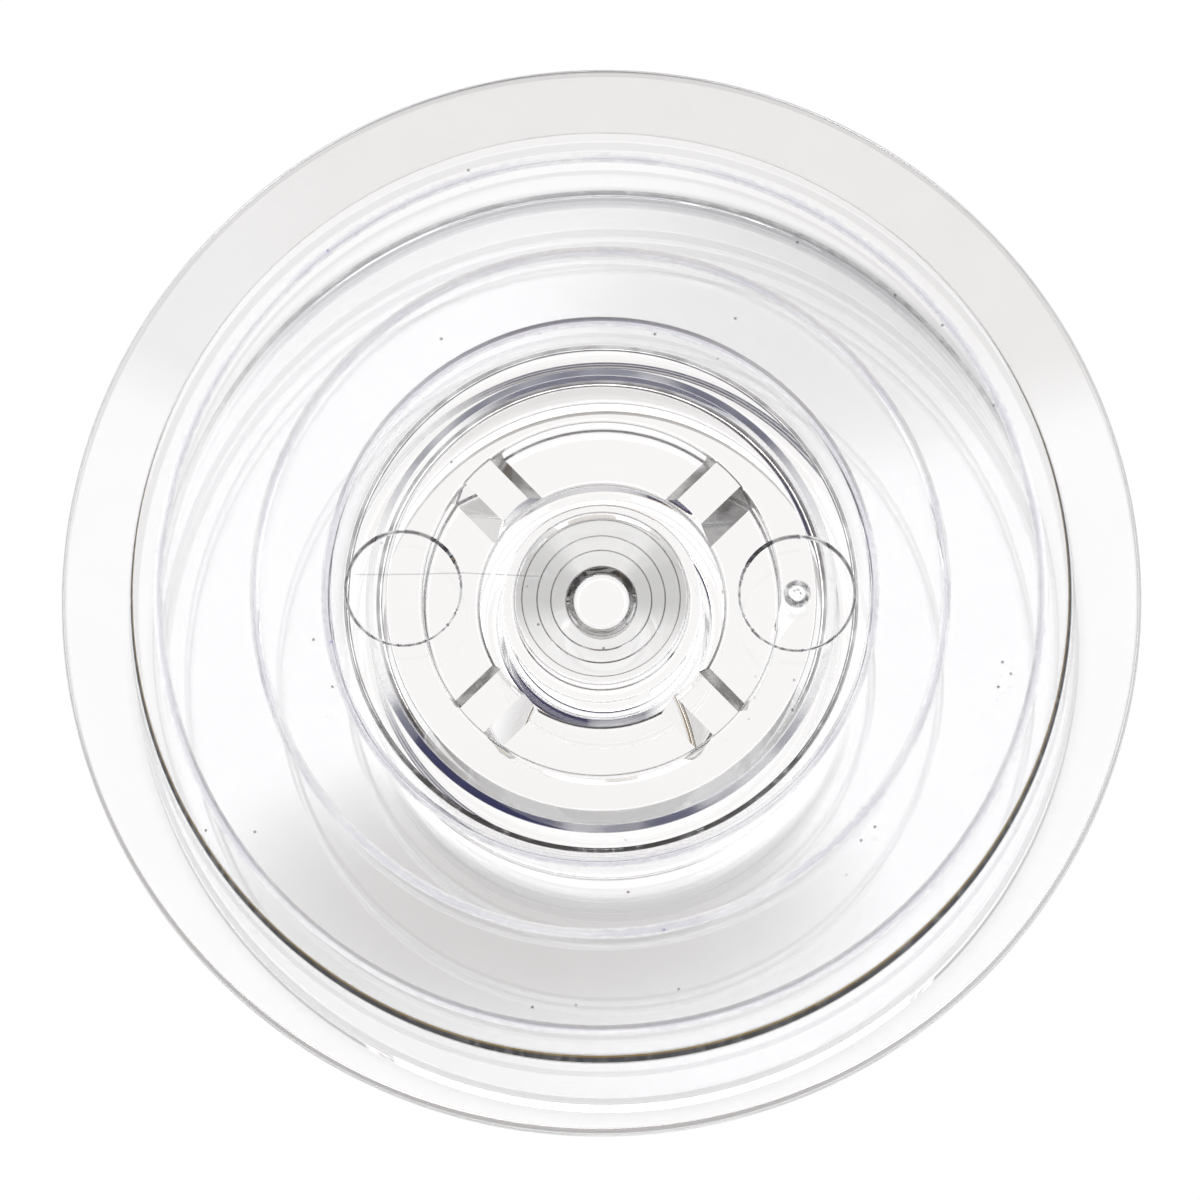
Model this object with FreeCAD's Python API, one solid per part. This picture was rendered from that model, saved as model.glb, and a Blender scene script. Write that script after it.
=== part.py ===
import FreeCAD, Part
import math
import os

os.makedirs("parts", exist_ok=True)

# A clear moulded bobbin, in millimetres.
# It stands on its lower flange at z = 0 with its axis on Z, and its wider, closed end is up.

# The spool
flange_radius = 15.0
overall_height = 9.5
rim_thickness = 1.1
rim_fall = 0.25
plateau_radius = 13.05
plateau_step = 0.8
plateau_draft = 0.10
lower_flange_radius = 12.85
lower_flange_thickness = 1.5
barrel_radius = 7.0
barrel_wall = 0.45

# The hub under the closed top web
sleeve_radius = 3.4
bore_radius = 2.8
sleeve_end_height = 1.2
boss_radius = 4.95
boss_height = 2.1
slot_count = 4
first_slot_angle = 45.0
slot_roof_width = 0.95
slot_mouth_width = 1.85
slot_roof_rise = 0.35
slot_margin = 0.05

# The stepped cone in the pocket at the blind end of the bore
pocket_radius = 2.45
pip_clearance = 0.10
cone_steps = ((2.20, 0.22), (1.78, 0.20), (1.40, 0.20))
step_rise = 0.05
pip_root_radius = 0.98
pip_tip_radius = 0.78
pip_height = 0.55

# Marks on the top face
groove_radii = (12.24, 9.57, 7.59)
groove_width = 0.26
groove_depth = 0.09
pad_radius = 1.65
pad_offset = 5.45
pad_depth = 0.12
pad_slope = 0.10
gate_radius = 0.28
gate_height = 0.10

# Edges and corners
rim_edge_bevel = 0.18
plateau_edge_bevel = 0.05
lower_edge_bevel = 0.20
barrel_corner_round = 0.15
ceiling_corner_bevel = 0.58
mouth_edge_bevel = 0.25
bore_lead_in = 0.30

# Heights that follow from the values above
web_thickness = rim_thickness + plateau_step
web_underside = overall_height - web_thickness
ceiling = web_underside
boss_end = ceiling - boss_height
slot_roof = ceiling + slot_roof_rise
cavity_radius = barrel_radius - barrel_wall
axis_up = FreeCAD.Vector(0, 0, 1)


def disc(radius, bottom, top):
    return Part.makeCylinder(radius, top - bottom, FreeCAD.Vector(0, 0, bottom))


def tube(outer, inner, bottom, top):
    return disc(outer, bottom, top).cut(disc(inner, bottom, top))


def turned(points):
    """Spin a closed outline of (radius, height) points about Z."""
    corners = [FreeCAD.Vector(r, 0, z) for r, z in points]
    outline = Part.makePolygon(corners + corners[:1])
    return Part.Face(outline).revolve(FreeCAD.Vector(0, 0, 0), axis_up, 360)


def ring_edges(solid, radius, height):
    """The round edges of a solid that lie on the axis at one radius and height."""
    found = []
    for edge in solid.Edges:
        if not isinstance(edge.Curve, Part.Circle):
            continue
        centre = edge.Curve.Center
        on_axis = math.hypot(centre.x, centre.y) < 1e-6
        right_size = abs(edge.Curve.Radius - radius) < 1e-6
        if on_axis and right_size and abs(centre.z - height) < 1e-6:
            found.append(edge)
    return found


def rounded(solid, size, places):
    edges = []
    for radius, height in places:
        edges += ring_edges(solid, radius, height)
    return solid.makeFillet(size, edges)


def upper_flange():
    """A thin rim that falls a little outwards, round a raised plateau with a tapered wall."""
    rim_top = web_underside + rim_thickness
    edge_top = rim_top - rim_fall
    plateau_edge = plateau_radius - plateau_draft
    return turned(
        [
            (0, web_underside),
            (flange_radius - rim_edge_bevel, web_underside),
            (flange_radius, web_underside + rim_edge_bevel),
            (flange_radius, edge_top - rim_edge_bevel),
            (flange_radius - rim_edge_bevel, edge_top),
            (plateau_radius, rim_top),
            (plateau_edge, overall_height - plateau_edge_bevel),
            (plateau_edge - plateau_edge_bevel, overall_height),
            (0, overall_height),
        ]
    )


def lower_flange():
    """A plain disc with eased edges, smaller than the upper flange."""
    return turned(
        [
            (0, 0),
            (lower_flange_radius - lower_edge_bevel, 0),
            (lower_flange_radius, lower_edge_bevel),
            (lower_flange_radius, lower_flange_thickness - lower_edge_bevel),
            (lower_flange_radius - lower_edge_bevel, lower_flange_thickness),
            (0, lower_flange_thickness),
        ]
    )


def cavity():
    """The hollow of the barrel, with an eased mouth and a strengthened upper corner."""
    return turned(
        [
            (0, -1),
            (cavity_radius + mouth_edge_bevel, -1),
            (cavity_radius + mouth_edge_bevel, 0),
            (cavity_radius, mouth_edge_bevel),
            (cavity_radius, ceiling - ceiling_corner_bevel),
            (cavity_radius - ceiling_corner_bevel, ceiling),
            (0, ceiling),
        ]
    )


def spool():
    """Two flanges on a barrel that is open below and closed above."""
    barrel = disc(barrel_radius, lower_flange_thickness, web_underside)
    body = upper_flange().fuse([lower_flange(), barrel])
    body = body.removeSplitter()
    corners = [(barrel_radius, lower_flange_thickness), (barrel_radius, web_underside)]
    body = rounded(body, barrel_corner_round, corners)
    return body.cut(cavity())


def hub():
    """The sleeve on the axis and the low boss round it."""
    sleeve = disc(sleeve_radius, sleeve_end_height, ceiling)
    boss = disc(boss_radius, boss_end, ceiling)
    return sleeve.fuse(boss)


def drive_slot(angle):
    """A slot for one finger of the driver: open below and outwards, and wider at its mouth."""
    half_roof = slot_roof_width / 2
    half_mouth = slot_mouth_width / 2
    corners = [
        FreeCAD.Vector(0, -half_mouth, boss_end),
        FreeCAD.Vector(0, half_mouth, boss_end),
        FreeCAD.Vector(0, half_roof, slot_roof),
        FreeCAD.Vector(0, -half_roof, slot_roof),
    ]
    outline = Part.makePolygon(corners + corners[:1])
    block = Part.Face(outline).extrude(FreeCAD.Vector(boss_radius + 1, 0, 0))
    reach = tube(boss_radius + slot_margin, sleeve_radius + slot_margin, boss_end, slot_roof)
    block = block.common(reach)
    block.rotate(FreeCAD.Vector(0, 0, 0), axis_up, angle)
    return block


def drive_slots():
    step = 360.0 / slot_count
    return [drive_slot(first_slot_angle + number * step) for number in range(slot_count)]


def bore():
    """The blind hole in the sleeve, with a stepped cone and a pip standing at its end."""
    end = ceiling
    cone_height = sum(step_rise + drop for radius, drop in cone_steps)
    shoulder = ceiling - cone_height - pip_height - pip_clearance
    points = [(0, sleeve_end_height - 1)]
    points.append((bore_radius + bore_lead_in, sleeve_end_height - 1))
    points.append((bore_radius + bore_lead_in, sleeve_end_height))
    points.append((bore_radius, sleeve_end_height + bore_lead_in))
    points.append((bore_radius, shoulder))
    points.append((pocket_radius, shoulder))
    points.append((pocket_radius, end))
    for radius, drop in cone_steps:
        points.append((radius, end))
        end = end - step_rise
        points.append((radius, end))
        end = end - drop
    points.append((pip_root_radius, end))
    points.append((pip_tip_radius, end - pip_height))
    points.append((0, end - pip_height))
    return turned(points)


def gauge_groove(radius):
    """A fine V cut into the top face."""
    half = groove_width / 2
    depth = groove_depth
    return turned(
        [
            (radius, overall_height - depth),
            (radius + half, overall_height),
            (radius + half, overall_height + depth),
            (radius - half, overall_height + depth),
            (radius - half, overall_height),
        ]
    )


def pad(side):
    """The shallow round mark of a mould insert, with a sloping edge."""
    floor = FreeCAD.Vector(side * pad_offset, 0, overall_height - pad_depth)
    return Part.makeCone(pad_radius - pad_slope, pad_radius, pad_depth, floor)


def gate_nub():
    """The stub left where the plastic came in."""
    foot = overall_height - pad_depth
    place = FreeCAD.Vector(pad_offset, 0, foot)
    return Part.makeCone(gate_radius, gate_radius * 0.7, gate_height, place)


def bobbin():
    body = spool()
    body = body.fuse(hub())
    body = body.cut(drive_slots())
    body = body.cut(bore())
    body = body.cut([gauge_groove(radius) for radius in groove_radii])
    body = body.cut([pad(-1), pad(1)])
    body = body.fuse(gate_nub())
    return body.removeSplitter()


shape = bobbin().Solids[0]
shape.exportStep("parts/bobbin.step")
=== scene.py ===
# %% [markdown]
# # A clear bobbin for a sewing machine
# The real object is one moulding of clear plastic: a wide upper flange and a smaller lower one on a
# hollow barrel, closed on top by a web, with a hub under the web that the machine drives. Clear
# plastic has almost no colour of its own, so what the eye reads is its edges, where light bends.
# This lesson therefore spends its effort on true edges, and on what stands under and round them.

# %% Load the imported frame
import math

import bmesh
import bpy
from mathutils import Matrix, Vector


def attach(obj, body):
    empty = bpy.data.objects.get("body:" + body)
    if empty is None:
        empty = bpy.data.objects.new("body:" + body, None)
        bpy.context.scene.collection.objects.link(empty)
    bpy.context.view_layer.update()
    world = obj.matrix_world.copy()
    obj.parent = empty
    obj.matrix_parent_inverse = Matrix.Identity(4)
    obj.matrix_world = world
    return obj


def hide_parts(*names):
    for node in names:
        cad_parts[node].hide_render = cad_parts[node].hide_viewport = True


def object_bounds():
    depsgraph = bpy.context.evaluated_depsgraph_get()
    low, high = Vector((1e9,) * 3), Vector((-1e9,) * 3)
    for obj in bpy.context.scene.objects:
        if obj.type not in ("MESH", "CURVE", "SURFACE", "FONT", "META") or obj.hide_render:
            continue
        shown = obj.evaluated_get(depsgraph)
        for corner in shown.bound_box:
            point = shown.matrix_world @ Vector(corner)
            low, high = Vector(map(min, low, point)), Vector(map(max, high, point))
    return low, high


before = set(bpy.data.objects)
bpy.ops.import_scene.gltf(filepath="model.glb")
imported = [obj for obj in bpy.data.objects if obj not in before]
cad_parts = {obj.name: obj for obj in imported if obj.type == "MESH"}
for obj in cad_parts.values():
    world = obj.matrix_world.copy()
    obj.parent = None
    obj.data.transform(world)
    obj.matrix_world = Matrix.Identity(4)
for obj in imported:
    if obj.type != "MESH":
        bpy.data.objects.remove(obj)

cad_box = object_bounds()
scene = bpy.context.scene
print("frame nodes:", sorted(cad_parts), "box:", [tuple(corner) for corner in cad_box])

# %% [markdown]
# ## The camera
# The photograph looks almost straight down from some way off, a little from the front and right,
# with the two round mould marks level. A camera can be turned by angles, or by giving its three
# axes. The axes are safer here, because near the vertical a small error in an angle rolls the
# picture.

# %% Camera
mm = 0.001
camera_distance = 300.0 * mm
camera_azimuth = math.radians(7.6)
camera_elevation = math.radians(80.4)
camera_roll = math.radians(0.93)
photo_pixels = 1200
pixel_on_top_face = 0.02766 * mm
aim = Vector((0.0, -0.26 * mm, cad_box[1].z))

towards_camera = Vector((
    math.sin(camera_azimuth) * math.cos(camera_elevation),
    -math.cos(camera_azimuth) * math.cos(camera_elevation),
    math.sin(camera_elevation),
))
upright = Vector((-math.sin(camera_roll), math.cos(camera_roll), 0))
camera_right = upright.cross(towards_camera).normalized()
camera_up = towards_camera.cross(camera_right)

lens = bpy.data.cameras.new("photo_camera")
lens.sensor_width = 36.0
lens.lens = lens.sensor_width * camera_distance / (photo_pixels * pixel_on_top_face)
lens.clip_start = 2 * mm
lens.clip_end = 10.0
camera = bpy.data.objects.new("photo_camera", lens)
turn = Matrix((camera_right, camera_up, towards_camera)).transposed().to_4x4()
camera.matrix_world = Matrix.Translation(aim + towards_camera * camera_distance) @ turn
scene.collection.objects.link(camera)
scene.camera = camera
print("lens in mm:", round(lens.lens, 1))

# %% [markdown]
# ## The section of the bobbin
# Everything that is round about the axis is one closed section, as a turner would draw it, and it
# is spun once. The other way is to join rings and discs with Booleans, but spun sections keep clean
# rows of faces, and each corner can have its own small radius. On clear plastic that radius
# matters more than any colour: it is what makes an edge a dark or a bright line.

# %% Sizes in millimetres
height = 9.5
flange_radius = 15.0
web = 1.9
ceiling = height - web
rim_foot = height - 0.80
rim_edge = height - 1.05
plateau_radius = 13.05
plateau_draft = 0.10
lower_radius = 12.85
lower_thickness = 1.5
barrel_radius = 7.0
cavity_radius = 6.55
boss_radius = 4.95
boss_end = 5.5
sleeve_radius = 3.4
sleeve_end = 1.2
bore_radius = 2.8
shoulder = height - 3.32
pocket_radius = 2.45
ring_radii = (7.59, 9.57, 12.24)
ring_half_width = 0.13
ring_depth = 0.09


def ring_groove(radius):
    """One gauge ring: a fine round-bottomed groove."""
    return [
        (radius - ring_half_width, height, 0.03),
        (radius, height - ring_depth, 0.06),
        (radius + ring_half_width, height, 0.03),
    ]


# Corners of the section: radius, height and the size of the eased edge
upper_flange = [
    (plateau_radius - plateau_draft, height, 0.05),
    (plateau_radius, rim_foot, 0.05),
    (flange_radius, rim_edge, 0.20),
    (flange_radius, ceiling, 0.20),
    (barrel_radius, ceiling, 0.18),
]
lower_flange = [
    (barrel_radius, lower_thickness, 0.15),
    (lower_radius, lower_thickness, 0.20),
    (lower_radius, 0.0, 0.20),
]
hub_underside = [
    (cavity_radius, 0.0, 0.25),
    (cavity_radius, ceiling - 0.551, 0.04),
    (cavity_radius - 0.22, ceiling - 0.320, 0.02),
    (cavity_radius - 0.58, ceiling, 0.04),
    (boss_radius, ceiling, 0.10),
    (boss_radius, boss_end, 0.10),
    (sleeve_radius, boss_end, 0.12),
    (sleeve_radius, sleeve_end, 0.12),
    (bore_radius + 0.3, sleeve_end, 0.05),
    (bore_radius, sleeve_end + 0.3, 0.10),
    (bore_radius, shoulder, 0.05),
    (pocket_radius, shoulder, 0.05),
    (pocket_radius, ceiling, 0.08),
]
# The same, with the drop below the top face in place of the height
cone_drops = [
    (2.20, 1.90, 0.02),
    (2.20, 1.95, 0.02),
    (1.78, 2.17, 0.02),
    (1.78, 2.22, 0.02),
    (1.40, 2.42, 0.02),
    (1.40, 2.47, 0.02),
    (0.98, 2.67, 0.08),
    (0.78, 3.22, 0.18),
    (0.0, 3.22, 0.0),
]
stepped_cone = [(radius, height - drop, ease) for radius, drop, ease in cone_drops]
top_face = [(0.0, height, 0.0)]
for ring_radius in ring_radii:
    top_face += ring_groove(ring_radius)
section = top_face + upper_flange + lower_flange + hub_underside + stepped_cone
print("corners in the section:", len(section))

# %% [markdown]
# ## Easing the corners
# Each corner of the section becomes a small arc that meets its two sides smoothly. Just outside the
# arc stands one more point on each side: smooth shading blends the normals between points, and
# without these the wide flat faces would be shaded as if they were shallow lenses.

# %% Ease and spin
arc_step = math.radians(10)
side_share = 0.45
guard = 0.02
guard_share = 0.1
turns = 256
on_axis = 1e-6


def eased(corners):
    """Corners of (radius, height, ease) as a fine outline of points."""
    outline = [Vector(corners[0][:2])]
    for before, here, after in zip(corners, corners[1:], corners[2:]):
        corner = Vector(here[:2])
        back = Vector(before[:2]) - corner
        ahead = Vector(after[:2]) - corner
        room = side_share * min(back.length, ahead.length)
        back.normalize()
        ahead.normalize()
        half = back.angle(ahead) / 2
        reach = min(here[2] / math.tan(half), room)
        arc_radius = reach * math.tan(half)
        middle = corner + (back + ahead).normalized() * arc_radius / math.sin(half)
        sweep = math.pi - 2 * half
        steps = max(2, math.ceil(sweep / arc_step))
        start = corner + back * reach - middle
        side = 1 if back.x * ahead.y - back.y * ahead.x < 0 else -1
        outline.append(corner + back * (reach + min(guard, room * guard_share)))
        for step in range(steps + 1):
            angle = side * sweep * step / steps
            cos, sin = math.cos(angle), math.sin(angle)
            turned = Vector((start.x * cos - start.y * sin, start.x * sin + start.y * cos))
            outline.append(middle + turned)
        outline.append(corner + ahead * (reach + min(guard, room * guard_share)))
    outline.append(Vector(corners[-1][:2]))
    return outline


def spun(outline, name):
    """Spin an outline that starts and ends on the axis into a closed mesh object."""
    mesh = bmesh.new()
    rows = []
    for point in outline:
        if point.x < on_axis:
            rows.append([mesh.verts.new((0, 0, point.y * mm))])
            continue
        row = []
        for turn_number in range(turns):
            angle = 2 * math.pi * turn_number / turns
            x, y = math.cos(angle) * point.x, math.sin(angle) * point.x
            row.append(mesh.verts.new((x * mm, y * mm, point.y * mm)))
        rows.append(row)
    for upper, lower in zip(rows, rows[1:]):
        for here in range(turns):
            there = (here + 1) % turns
            corners = [upper[here % len(upper)], lower[here % len(lower)]]
            corners += [lower[there % len(lower)], upper[there % len(upper)]]
            mesh.faces.new(list(dict.fromkeys(corners)))
    return finished(mesh, name)


def finished(mesh, name):
    """A bmesh as a linked object with its faces turned outwards."""
    bmesh.ops.recalc_face_normals(mesh, faces=mesh.faces)
    data = bpy.data.meshes.new(name)
    mesh.to_mesh(data)
    mesh.free()
    made = bpy.data.objects.new(name, data)
    scene.collection.objects.link(made)
    return made


section_line = eased(section)
bobbin = spun(section_line, "clear_bobbin")
print("points in the line:", len(section_line), "faces:", len(bobbin.data.polygons))

# %% [markdown]
# ## The drive slots
# Round the sleeve stands a low boss with four slots, open below, where the fingers of the machine's
# driver push. They are not round about the axis, so each is cut: a plan outline is drawn twice,
# narrow at the roof and wide at the mouth, and a Boolean takes the block between them out of the
# boss. The taper is what a mould needs to let go of the part, and it is why both walls are seen.

# %% Slots
slot_roof = ceiling + 0.35
slot_width_roof = 0.95
slot_width_mouth = 1.85
slot_inner = sleeve_radius + 0.05
slot_outer = boss_radius + 0.05
slot_overrun = 0.2
slot_angles = (45, 135, 225, 315)
half_arc_steps = 6


def join(body, tool, operation):
    """Boolean of two objects that leaves its result in the first and removes the second."""
    step = body.modifiers.new(tool.name, "BOOLEAN")
    step.object = tool
    step.operation = operation
    step.solver = "EXACT"
    graph = bpy.context.evaluated_depsgraph_get()
    result = bpy.data.meshes.new_from_object(body.evaluated_get(graph))
    body.modifiers.clear()
    body.data = result
    bpy.data.objects.remove(tool)


def skinned(mesh, rows):
    """Close rows of points, from the lowest up, with two ends and the walls between them."""
    mesh.faces.new(rows[0])
    mesh.faces.new(rows[-1])
    for lower, upper in zip(rows, rows[1:]):
        for here in range(len(lower)):
            there = (here + 1) % len(lower)
            mesh.faces.new((lower[here], lower[there], upper[there], upper[here]))


def slot_plan(half):
    """Outline of a slot between two radii, with straight sides."""
    plan = []
    for radius, way in ((slot_inner, 1), (slot_outer, -1)):
        swing = math.asin(half / radius)
        for step in range(2 * half_arc_steps + 1):
            around = way * swing * (step / half_arc_steps - 1)
            plan.append((radius * math.cos(around), radius * math.sin(around)))
    return plan


def slot_cutter(angle):
    """One tapered block to take away."""
    mouth = boss_end - slot_overrun
    fall = (slot_roof - mouth) / (slot_roof - boss_end)
    half_roof = slot_width_roof / 2
    half_mouth = half_roof + fall * (slot_width_mouth - slot_width_roof) / 2
    mesh = bmesh.new()
    rows = []
    for half, level in ((half_mouth, mouth), (half_roof, slot_roof)):
        plan = slot_plan(half)
        rows.append([mesh.verts.new((x * mm, y * mm, level * mm)) for x, y in plan])
    skinned(mesh, rows)
    to_place = Matrix.Rotation(math.radians(angle), 3, "Z")
    bmesh.ops.rotate(mesh, verts=mesh.verts, matrix=to_place)
    return finished(mesh, f"drive_slot_{angle}")


for slot_angle in slot_angles:
    join(bobbin, slot_cutter(slot_angle), "DIFFERENCE")
print("faces with the slots:", len(bobbin.data.polygons))

# %% [markdown]
# ## The two mould marks and the gate nub
# Left and right on the top face are the shallow round marks of two mould inserts, and in the right
# one is the rough stub where the plastic flowed in and was twisted off. The marks are cut with a
# shallow cone, which gives their edge a slope to catch light. The stub is a small spun form whose
# rows are pushed about by fixed sines, because a clean cone would look machined.

# %% Marks and nub
mark_offset = 5.45
mark_radius = 1.65
mark_depth = 0.12
mark_slope = 0.10
mark_sides = 96
nub_rows = [(0.36, -0.05), (0.34, 0.0), (0.27, 0.05), (0.23, 0.10), (0.13, 0.10), (0.07, 0.06)]
nub_sides = 40


def mark_cutter(side):
    """A shallow cone that is wider at the top face, and goes on straight above it."""
    mesh = bmesh.new()
    wall = mark_slope / mark_depth
    rows = []
    for level in (-mark_depth, 0.0, mark_depth):
        radius = mark_radius + wall * level
        row = []
        for number in range(mark_sides):
            angle = 2 * math.pi * number / mark_sides
            x = side * mark_offset + radius * math.cos(angle)
            y = radius * math.sin(angle)
            row.append(mesh.verts.new((x * mm, y * mm, (height + level) * mm)))
        rows.append(row)
    skinned(mesh, rows)
    return finished(mesh, "mould_mark")


def gate_nub():
    """The torn stub of the gate, a low uneven crater."""
    mesh = bmesh.new()
    rows = []
    for number, (radius, rise) in enumerate(nub_rows):
        row = []
        for step in range(nub_sides):
            angle = 2 * math.pi * step / nub_sides
            wobble = 1 + 0.10 * math.sin(2 * angle + number) + 0.06 * math.sin(5 * angle - number)
            tilt = 0.012 * math.sin(angle + 0.7) + 0.008 * math.sin(3 * angle) if rise > 0 else 0.0
            x = mark_offset + radius * wobble * math.cos(angle)
            y = radius * wobble * math.sin(angle)
            z = height - mark_depth + rise + tilt
            row.append(mesh.verts.new((x * mm, y * mm, z * mm)))
        rows.append(row)
    skinned(mesh, rows)
    return finished(mesh, "gate_nub")


for mark_side in (-1, 1):
    join(bobbin, mark_cutter(mark_side), "DIFFERENCE")
join(bobbin, gate_nub(), "UNION")
bobbin.data.shade_smooth()
bobbin.data.set_sharp_from_angle(angle=math.radians(24))

check = bmesh.new()
check.from_mesh(bobbin.data)
open_edges = sum(1 for edge in check.edges if len(edge.link_faces) != 2)
volume = check.calc_volume() / mm ** 3
triangles = sum(len(face.verts) - 2 for face in check.faces)
check.free()
print("open edges:", open_edges, "volume in mm3:", round(volume, 1), "triangles:", triangles)

# %% [markdown]
# ## Writing shader maths as Python
# A finish is a sum of small masks, and a node graph for it is hard to read. One small class wraps a
# socket, so that plain arithmetic on it adds the Math nodes, and one method adds any other node.

# %% A socket that does arithmetic
class Wire:
    """A socket in a node tree; arithmetic on it adds Math nodes."""

    def __init__(self, tree, socket=None):
        self.tree = tree
        self.socket = socket

    def node(self, kind, settings=None, sockets=None, out=0):
        """Add a node: its settings first, then values or links; gives one output."""
        made = self.tree.nodes.new(kind)
        for name, value in (settings or {}).items():
            setattr(made, name, value)
        for name, value in (sockets or {}).items():
            if isinstance(value, Wire):
                self.tree.links.new(value.socket, made.inputs[name])
            else:
                made.inputs[name].default_value = value
        return Wire(self.tree, made.outputs[out] if made.outputs else None)

    def other(self, name):
        return Wire(self.tree, self.socket.node.outputs[name])

    def calc(self, operation, *values):
        settings = {"operation": operation}
        return self.node("ShaderNodeMath", settings, dict(enumerate(values)))

    def __add__(self, value):
        return self.calc("ADD", self, value)

    def __sub__(self, value):
        return self.calc("SUBTRACT", self, value)

    def __rsub__(self, value):
        return self.calc("SUBTRACT", value, self)

    def __mul__(self, value):
        return self.calc("MULTIPLY", self, value)

    def __truediv__(self, value):
        return self.calc("DIVIDE", self, value)

    def __rtruediv__(self, value):
        return self.calc("DIVIDE", value, self)

    def __pow__(self, value):
        return self.calc("POWER", self, value)

    def __abs__(self):
        return self.calc("ABSOLUTE", self)

    __radd__ = __add__
    __rmul__ = __mul__

    def at_least(self, value):
        return self.calc("MAXIMUM", self, value)

    def ramp(self, low, high):
        """0 at low, 1 at high, and smooth between; low may be the larger."""
        ends = (low, high, 0.0, 1.0) if low < high else (high, low, 1.0, 0.0)
        sockets = {0: self, **dict(enumerate(ends, start=1))}
        return self.node("ShaderNodeMapRange", {"interpolation_type": "SMOOTHSTEP"}, sockets)

    def between(self, low, high, soft):
        """1 between low and high, and 0 outside, with soft edges."""
        return self.ramp(low - soft, low + soft) * self.ramp(high + soft, high - soft)

    def blend(self, first, second):
        """A colour from first to second, by this wire."""
        sockets = {0: self, 6: first, 7: second}
        return self.node("ShaderNodeMix", {"data_type": "RGBA"}, sockets, out=2)

    def noise(self, size_mm, detail, offset):
        """Noise round 0.5, with features of about that size; this wire is a place in mm."""
        shift = {0: self, 1: (offset, offset, 0)}
        place = self.node("ShaderNodeVectorMath", {"operation": "ADD"}, shift)
        sockets = {"Vector": place, "Scale": 1.0 / size_mm, "Detail": detail}
        return self.node("ShaderNodeTexNoise", {"noise_dimensions": "2D"}, sockets, out="Fac")


def blank_material(name):
    """A material with an empty node tree, and a wire to write on it with."""
    made = bpy.data.materials.new(name)
    made.use_nodes = True
    made.node_tree.nodes.clear()
    return made, Wire(made.node_tree)


def added(masks):
    """The sum of a list of wires."""
    return sum(masks[1:], masks[0])


print("shader tools ready")

# %% [markdown]
# ## Clear moulded plastic
# The plastic is clear styrene with a polished skin: full transmission and a styrene index. One
# piece of plastic has three finishes here, so the mesh has three materials. They could be one
# material with masks, but light meets many faces on its way through a clear part, and plain faces
# keep the render quick. The first finish is the skin itself, with hardly visible streaks.

# %% Clear skin
per_metre = 1000.0
styrene_index = 1.57
clear_white = (0.99, 0.99, 0.995, 1.0)
streak_dim = (0.985, 0.985, 0.99, 1.0)
streak_bright = (0.995, 0.995, 1.0, 1.0)


def places(name):
    """A new material, with wires for the place on the part in millimetres."""
    made, wire = blank_material(name)
    place = wire.node("ShaderNodeTexCoord", out="Object")
    sockets = {0: place, "Scale": per_metre}
    place_mm = wire.node("ShaderNodeVectorMath", {"operation": "SCALE"}, sockets)
    x_mm = wire.node("ShaderNodeSeparateXYZ", None, {0: place_mm}, out="X")
    y_mm = x_mm.other("Y")
    radius_mm = (x_mm * x_mm + y_mm * y_mm) ** 0.5
    return made, wire, place_mm, x_mm, y_mm, radius_mm


def clear_shader(wire, colour, roughness):
    """The polished plastic itself."""
    return wire.node("ShaderNodeBsdfPrincipled", None, {
        "Base Color": colour,
        "Roughness": roughness,
        "IOR": styrene_index,
        "Transmission Weight": 1.0,
    })


skin, ink, place_mm, x_mm, y_mm, radius_mm = places("clear_plastic")
streak = place_mm.noise(2.0, 1.0, 5.0).ramp(0.3, 0.7)
skin_colour = streak.blend(streak_dim, streak_bright)
ink.node("ShaderNodeOutputMaterial", None, {"Surface": clear_shader(ink, skin_colour, 0.0)})
print("nodes in the clear skin:", len(skin.node_tree.nodes))

# %% [markdown]
# ## The top face
# The face that is seen first has fine things on it: three gauge rings with torn edges, the outlines
# of the two mould marks and of the gate, a flow line from the left mark to the middle, and a few
# specks. Rings, marks and gate are real shapes in the mesh, and the dark grey and lavender lines
# along their edges are painted shade on a matt edge. The flow line and specks are marks in the
# plastic. Masks by radius, and by distance from a mark, stay sharp from any distance.

# %% Top face
matt_roughness = 0.6
matt_gloss = 0.1
ring_wander = 0.12
ring_soft = 0.08
mark_edge_band = (1.57, 1.63)
gate_band = (0.21, 0.38)
flow_y = 0.42
flow_reach = (-6.8, -1.7)
# Painted shade: colours of the dark lines along ring, mark and gate edges
painted_line_grey = (0.12, 0.12, 0.14, 1.0)
painted_ring_lavender = (0.42, 0.42, 0.62, 1.0)


def matt_mix(wire, matt_and_shade_mask, colour, clear):
    """Matt plastic over the clear one, by a mask; its dark colour is painted shade, and its blue
    and golden tints are painted reflections.
    """
    matt_and_shaded = wire.node("ShaderNodeBsdfPrincipled", None, {
        "Base Color": colour,
        "Roughness": matt_roughness,
        "Specular IOR Level": matt_gloss,
    })
    surface = wire.node("ShaderNodeMixShader", None, {0: matt_and_shade_mask, 1: clear, 2: matt_and_shaded})
    wire.node("ShaderNodeOutputMaterial", None, {"Surface": surface})


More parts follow.
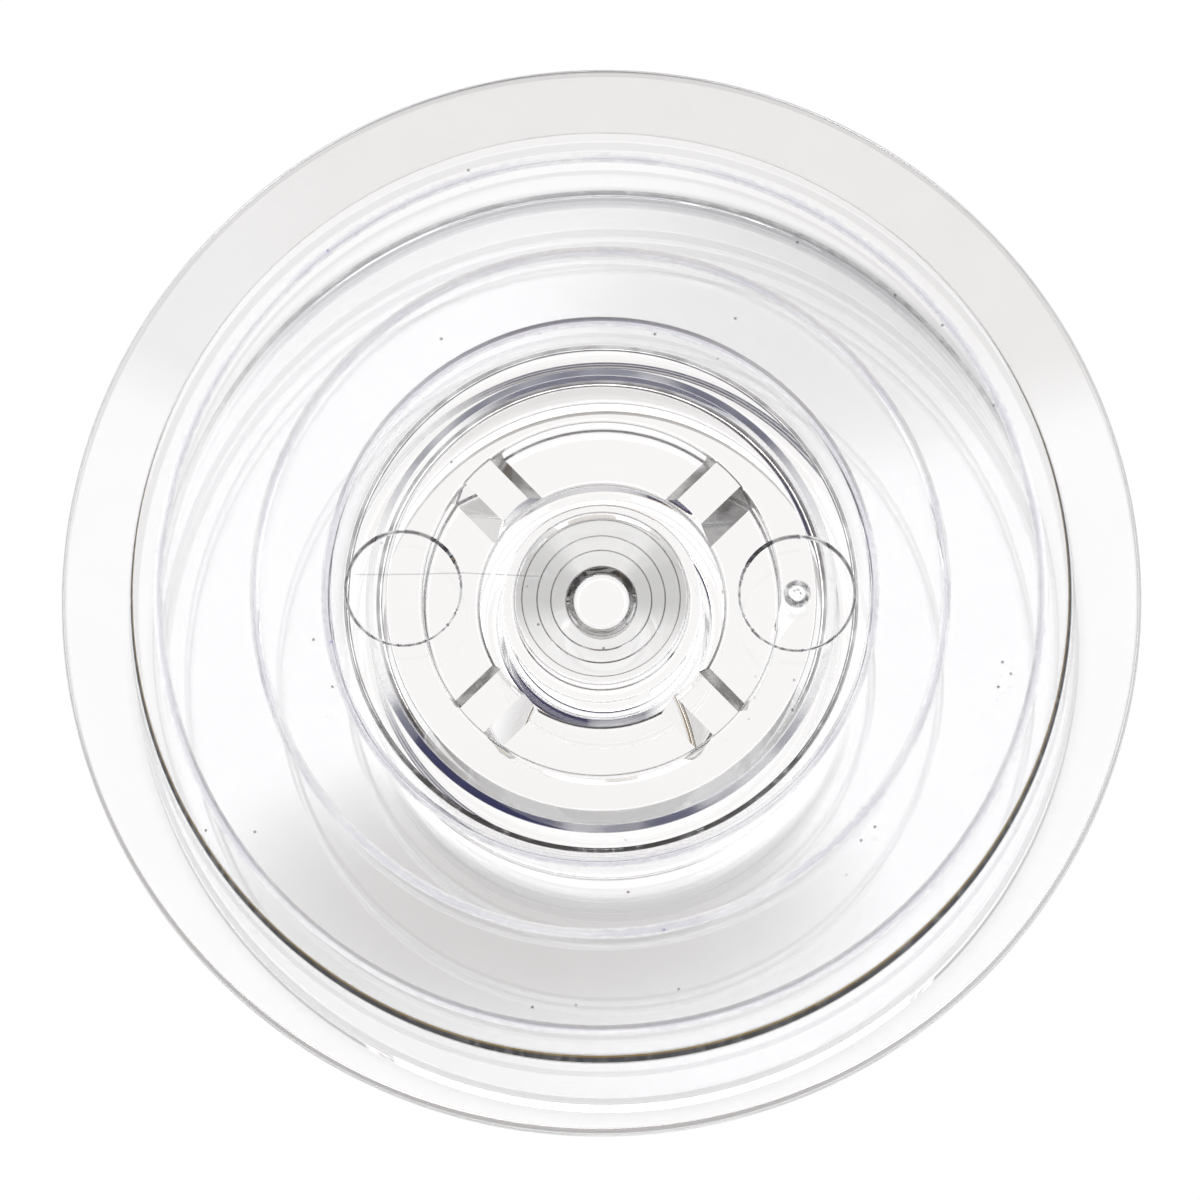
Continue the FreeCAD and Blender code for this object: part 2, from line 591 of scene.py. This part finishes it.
face, ink, place_mm, x_mm, y_mm, radius_mm = places("clear_plastic_face")
fine = place_mm.noise(0.30, 2.0, 7.0)
broad = place_mm.noise(3.0, 1.0, 21.0)
ring_lines = []
for ring_radius in ring_radii:
    off_line = abs(radius_mm + fine * ring_wander - ring_wander / 2 - ring_radius)
    ring_lines.append(off_line.ramp(ring_half_width, ring_half_width - ring_soft))
ring_mask = added(ring_lines) * (0.30 + 0.55 * broad.ramp(0.30, 0.65))
from_mark_x = abs(x_mm) - mark_offset
from_mark = (from_mark_x * from_mark_x + y_mm * y_mm) ** 0.5
mark_edge = from_mark.between(*mark_edge_band, 0.02) * (0.50 + 0.50 * fine.ramp(0.35, 0.6))
gate_edge = from_mark.between(*gate_band, 0.03) * x_mm.ramp(0.0, 1.0)
gate_edge = gate_edge * (0.25 + 0.75 * fine.ramp(0.3, 0.6))
flow_off = abs(y_mm - flow_y + (broad - 0.5) * 0.20)
flow_line = flow_off.ramp(0.026, 0.010) * x_mm.between(*flow_reach, 0.15)
cells = {"Vector": place_mm, "Scale": 0.8}
speck_cells = ink.node("ShaderNodeTexVoronoi", {"voronoi_dimensions": "2D"}, cells, out="Distance")
specks = speck_cells.ramp(0.040, 0.025) * broad.ramp(0.66, 0.70)
# Painted shade along mark, gate and ring edges; the flow line and specks are marks in the plastic
face_lines = mark_edge * 0.85 + gate_edge * 0.75 + flow_line * 0.35 + specks * 0.7
face_lines = face_lines + ring_mask * 0.34
line_colour = ring_mask.ramp(0.0, 0.1).blend(painted_line_grey, painted_ring_lavender)
matt_mix(ink, face_lines, line_colour, clear_shader(ink, clear_white, ring_mask * 0.10))
print("nodes in the top face:", len(face.node_tree.nodes))

# %% [markdown]
# ## The matt walls of the hub, with painted shade
# The slots, the stepped cone, the side of the pip and the foot of the sleeve look grey between
# clear faces. Rough glass could show that, but it is slow to render and stays too bright, so dull
# dark plastic is mixed in by a mask, and its grey is painted shade. The strength changes round the
# axis as the grey does in the photograph.

# %% Masks of the hub
rough, ink, place_mm, x_mm, y_mm, radius_mm = places("clear_plastic_matt_painted_shade")
z_mm = x_mm.other("Z")
to_back = y_mm / radius_mm
shade_patches = place_mm.noise(0.9, 2.0, 3.0).ramp(0.30, 0.65)
pip_side = radius_mm.between(0.79, 0.98, 0.02)
pip_end = radius_mm.ramp(0.80, 0.76)
cone_edges = []
for step_radius in (2.20, 1.78, 1.40):
    cone_edges.append(abs(radius_mm - step_radius).ramp(0.030, 0.012))
# Painted shade that changes round the axis: on the cone's sides, at the back of the pip, at the
# front of the sleeve's foot, and patchy in the slots
to_sides = (abs(x_mm) / radius_mm).ramp(0.50, 0.95) * to_back.ramp(-0.70, 0.0)
cone_side_shade = 0.04 + 0.08 * to_back.ramp(0.3, 0.9) + 0.34 * to_sides
pip_shade = pip_side * 0.66 * to_back.ramp(-0.3, 0.7)
cone_shade = cone_side_shade * (1 - pip_end) + pip_shade + 0.26 * added(cone_edges)
cone_walls = radius_mm.ramp(3.2, 3.0) * cone_shade
at_sleeve = z_mm.ramp(boss_end + 0.03, boss_end)
slot_shade = 0.50 + 0.32 * shade_patches
sleeve_shade = 0.22 + 0.66 * to_back.ramp(0.25, -0.75)
hub_shade = slot_shade * (1 - at_sleeve) + sleeve_shade * at_sleeve
hub_walls = cone_walls + radius_mm.between(3.1, 6.0, 0.1) * hub_shade
print("nodes for the hub:", len(rough.node_tree.nodes))

# %% [markdown]
# ## The matt walls of the spool, with painted shade
# The same dull plastic with painted shade is in the upper corner of the barrel and round its root,
# on the step of the upper flange, and along the upper edge of the lower one. Noise makes each of
# them uneven. The shade is stronger in front and behind in the corner, in front at the root, and
# behind along the lower flange. Two tints are painted reflections: blue in the barrel's corner,
# golden at the step's top.

# %% Masks of the spool
# Painted shade in grey; painted reflections in blue and golden
painted_wall_shade = (0.06, 0.06, 0.07, 1.0)
painted_corner_blue = (0.03, 0.045, 0.19, 1.0)
painted_step_golden = (0.34, 0.23, 0.08, 1.0)
# torn and uneven are noise that makes the painted shade patchy
torn = place_mm.noise(0.22, 1.0, 13.0).ramp(0.35, 0.60)
uneven = place_mm.noise(2.6, 1.0, 9.0).ramp(0.28, 0.60)
in_corner = radius_mm.between(6.1, 6.78, 0.01)
corner_reflection = 0.14 + (0.26 + 0.46 * uneven) * abs(to_back).ramp(0.25, 0.75)
root_shade = 0.30 + 0.28 * shade_patches + 0.62 * to_back.ramp(-0.25, -0.80) * (0.7 + 0.3 * torn)
barrel_walls = in_corner * corner_reflection + radius_mm.between(6.78, 8.0, 0.01) * root_shade
on_flange = radius_mm.ramp(12.0, 12.5)
on_lower_flange = z_mm.ramp(3.0, 2.0)
edge_shade = (0.34 + 0.30 * shade_patches + 0.16 * torn) * to_back.ramp(0.30, 0.75)
step_shade = 0.86 + 0.12 * torn
flange_walls = on_flange * (step_shade * (1 - on_lower_flange) + edge_shade * on_lower_flange)
matt_and_shade_mask = hub_walls + barrel_walls + flange_walls
step_top = on_flange * z_mm.ramp(height - 0.30, height - 0.16)
matt_shade_colour = step_top.blend(in_corner.blend(painted_wall_shade, painted_corner_blue), painted_step_golden)
matt_mix(ink, matt_and_shade_mask, matt_shade_colour, clear_shader(ink, clear_white, 0.0))
print("nodes in the matt walls:", len(rough.node_tree.nodes))

# %% [markdown]
# ## Which face has which finish
# A face gets its finish from where it lies: zones of radius and height name the matt walls with
# painted shade, the top face has its own finish, and all the rest is clear skin. Faces could be
# picked by number, but numbers change with each Boolean. Three of the four slots have one wall
# that stays clear, without the painted shade.

# %% Zones and faces
# Least and most radius, lowest and highest level
matt_zones = [
    # Ends of the slots
    (slot_outer - 0.02, slot_outer + 0.02, ceiling + 0.02, slot_roof - 0.01),
    # Stepped cone and pip
    (-1.0, pocket_radius - 0.03, shoulder + 0.05, ceiling + 0.01),
    # Foot of the sleeve
    (sleeve_radius + 0.005, sleeve_radius + 0.12, boss_end - 0.12, boss_end - 0.005),
    # Upper corner in the barrel
    (cavity_radius - 0.215, cavity_radius - 0.005, ceiling - 0.54, ceiling - 0.33),
    # Root of the barrel
    (barrel_radius, barrel_radius + 0.2, ceiling - 0.2, ceiling - 0.005),
    # Step of the upper flange
    (plateau_radius - 0.12, plateau_radius + 0.01, rim_foot + 0.02, height - 0.02),
    # Upper edge of the lower flange
    (lower_radius - 0.2, lower_radius + 0.01, lower_thickness - 0.2, lower_thickness - 0.005),
]
slot_zone = (slot_inner + 0.01, boss_radius - 0.15, boss_end + 0.03, slot_roof - 0.01)
top_face_depth = 0.2


def inside(zone, across, level):
    """Whether a place is in a zone of least and most radius, lowest and highest level."""
    return zone[0] < across < zone[1] and zone[2] < level < zone[3]


bobbin.data.materials.clear()
for finish in (skin, face, rough):
    bobbin.data.materials.append(finish)
counts = [0, 0, 0]
for polygon in bobbin.data.polygons:
    x, y, z = polygon.center / mm
    across = math.hypot(x, y)
    left_clear = polygon.normal.y > 0.2 and not (x > 0 and y > 0)
    matt_and_shaded = inside(slot_zone, across, z) and not left_clear
    matt_and_shaded = matt_and_shaded or any(inside(zone, across, z) for zone in matt_zones)
    polygon.material_index = 2 if matt_and_shaded else 1 if z > height - top_face_depth else 0
    counts[polygon.material_index] += 1
print("faces by finish:", counts)
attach(bobbin, "root")
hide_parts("bobbin")

# %% [markdown]
# ## The table and the light
# The part lies on a pale table with a glow of its own, as clear goods are often shown. A
# plain floor lit by lamps would need a long render, because its light would have to find a way
# through many clear faces. So the soft shade of the flanges, a darker contact shadow behind the
# edge of the lower flange, and a paler patch of light under the hub are painted on the glowing
# floor. Far from the part it turns grey in front and behind: edges that bend light steeply show
# that.

# %% Floor
floor_radius = 0.6
floor_level = -0.03 * mm
side_x, side_y = 0.92, 0.39
shade_middle = (-0.19, 1.40)
shade_radius = 15.4
table_white = (1.02, 1.02, 1.02, 1.0)
far_white = (0.90, 0.90, 0.90, 1.0)
far_grey = (0.42, 0.43, 0.48, 1.0)
# Painted shade and light on the floor: under the flanges, under both, under the hub, and the
# contact shadow
flange_shade = (0.76, 0.75, 0.745, 1.0)
double_shade = (0.55, 0.547, 0.55, 1.0)
painted_hub_light = (0.97, 0.965, 0.96, 1.0)
contact_shadow_grey = (0.20, 0.20, 0.22, 1.0)

floor_mesh = bmesh.new()
bmesh.ops.create_circle(floor_mesh, cap_ends=True, radius=floor_radius, segments=96)
bmesh.ops.translate(floor_mesh, verts=floor_mesh.verts, vec=(0, 0, floor_level))
floor = finished(floor_mesh, "pale_floor")
floor_paint, dab = blank_material("pale_floor")
floor_place = dab.node("ShaderNodeTexCoord", out="Object")
floor_x = dab.node("ShaderNodeSeparateXYZ", None, {0: floor_place}, out="X")
floor_y = floor_x.other("Y")
from_axis = per_metre * (floor_x * floor_x + floor_y * floor_y) ** 0.5
shade_x = floor_x * per_metre - shade_middle[0]
shade_y = floor_y * per_metre - shade_middle[1]
from_shade = (shade_x * shade_x + shade_y * shade_y) ** 0.5
in_shade = from_shade.ramp(shade_radius, shade_radius - 0.9)
behind = (floor_y * per_metre / from_axis).ramp(0.45, 0.85)
# Painted contact shadow: a dark ring behind the edge of the lower flange
contact_shadow = abs(from_axis - lower_radius).ramp(0.45, 0.08) * behind
floor_side = (floor_y * side_y - floor_x * side_x) * per_metre / from_axis
far_floor = (floor_side * floor_side).ramp(0.45, 0.80).blend(far_grey, far_white)
lit = from_axis.ramp(230.0, 150.0).blend(far_floor, table_white)
shaded = in_shade.blend(lit, flange_shade)
shaded = from_axis.ramp(13.2, 12.5).blend(shaded, double_shade)
shaded = from_axis.ramp(7.6, 7.0).blend(shaded, painted_hub_light)
glowing = contact_shadow.blend(shaded, contact_shadow_grey)
glow_light = dab.node("ShaderNodeEmission", None, {"Color": glowing, "Strength": 1.0})
dab.node("ShaderNodeOutputMaterial", None, {"Surface": glow_light})
floor.data.materials.append(floor_paint)
print("floor radius in m:", floor_radius)

# %% [markdown]
# ## The room round the table
# A wide soft panel hangs overhead. Two dimmer places in it show as soft patches in the top face,
# and a third keeps the glare off the hub. Below the panel the room is white to both sides, and
# dark in front and behind, blue near the table and warm higher up. Flags and cards could do the
# same, but they would stand in the way of other views, so the world is painted by direction.

# %% World
navy = (0.03, 0.03, 0.09, 1.0)
golden = (0.26, 0.17, 0.06, 1.0)
side_white = (0.95, 0.95, 0.95, 1.0)
panel_light = (3.2, 3.2, 3.22, 1.0)
# Slope in X and Y, half width, half depth, how much dimmer, even core
panel_gaps = [
    (-0.0280, 0.1390, 0.036, 0.0170, 0.66, 0.0),
    (-0.0038, 0.1947, 0.028, 0.0180, 0.32, 0.0),
    (-0.0224, 0.1677, 0.0252, 0.0252, 0.85, 0.80),
]
light_bounces = 12

room = bpy.data.worlds.new("soft_room")
room.use_nodes = True
room.node_tree.nodes.clear()
scene.world = room
paint = Wire(room.node_tree)
facing = paint.node("ShaderNodeTexCoord", out="Generated")
facing_x = paint.node("ShaderNodeSeparateXYZ", None, {0: facing}, out="X")
facing_y = facing_x.other("Y")
facing_z = facing_x.other("Z")
sideways = facing_y * side_y - facing_x * side_x
level = 1 - facing_z * facing_z
to_side = (sideways * sideways / level.at_least(0.0001)).ramp(0.45, 0.80)
low_colour = facing_z.ramp(0.40, 0.60).blend(navy, golden)
low_colour = to_side.blend(low_colour, side_white)
slope_x = facing_x / facing_z.at_least(0.05)
slope_y = facing_y / facing_z.at_least(0.05)
panel = abs(slope_x).ramp(0.62, 0.50) * slope_y.ramp(0.34, 0.28) * slope_y.ramp(-0.50, -0.35)
for middle_x, middle_y, wide, deep, strength, core in panel_gaps:
    gap_x = (slope_x - middle_x) / wide
    gap_y = (slope_y - middle_y) / deep
    panel = panel * (1 - strength * (gap_x * gap_x + gap_y * gap_y).ramp(1.0, core))
room_colour = panel.blend(low_colour, panel_light)
room_light = paint.node("ShaderNodeBackground", None, {"Color": room_colour, "Strength": 1.0})
paint.node("ShaderNodeOutputWorld", None, {"Surface": room_light})
scene.view_settings.view_transform = "Standard"
scene.cycles.max_bounces = light_bounces
scene.cycles.transmission_bounces = light_bounces
scene.cycles.glossy_bounces = light_bounces
print("dimmer places in the panel:", len(panel_gaps))
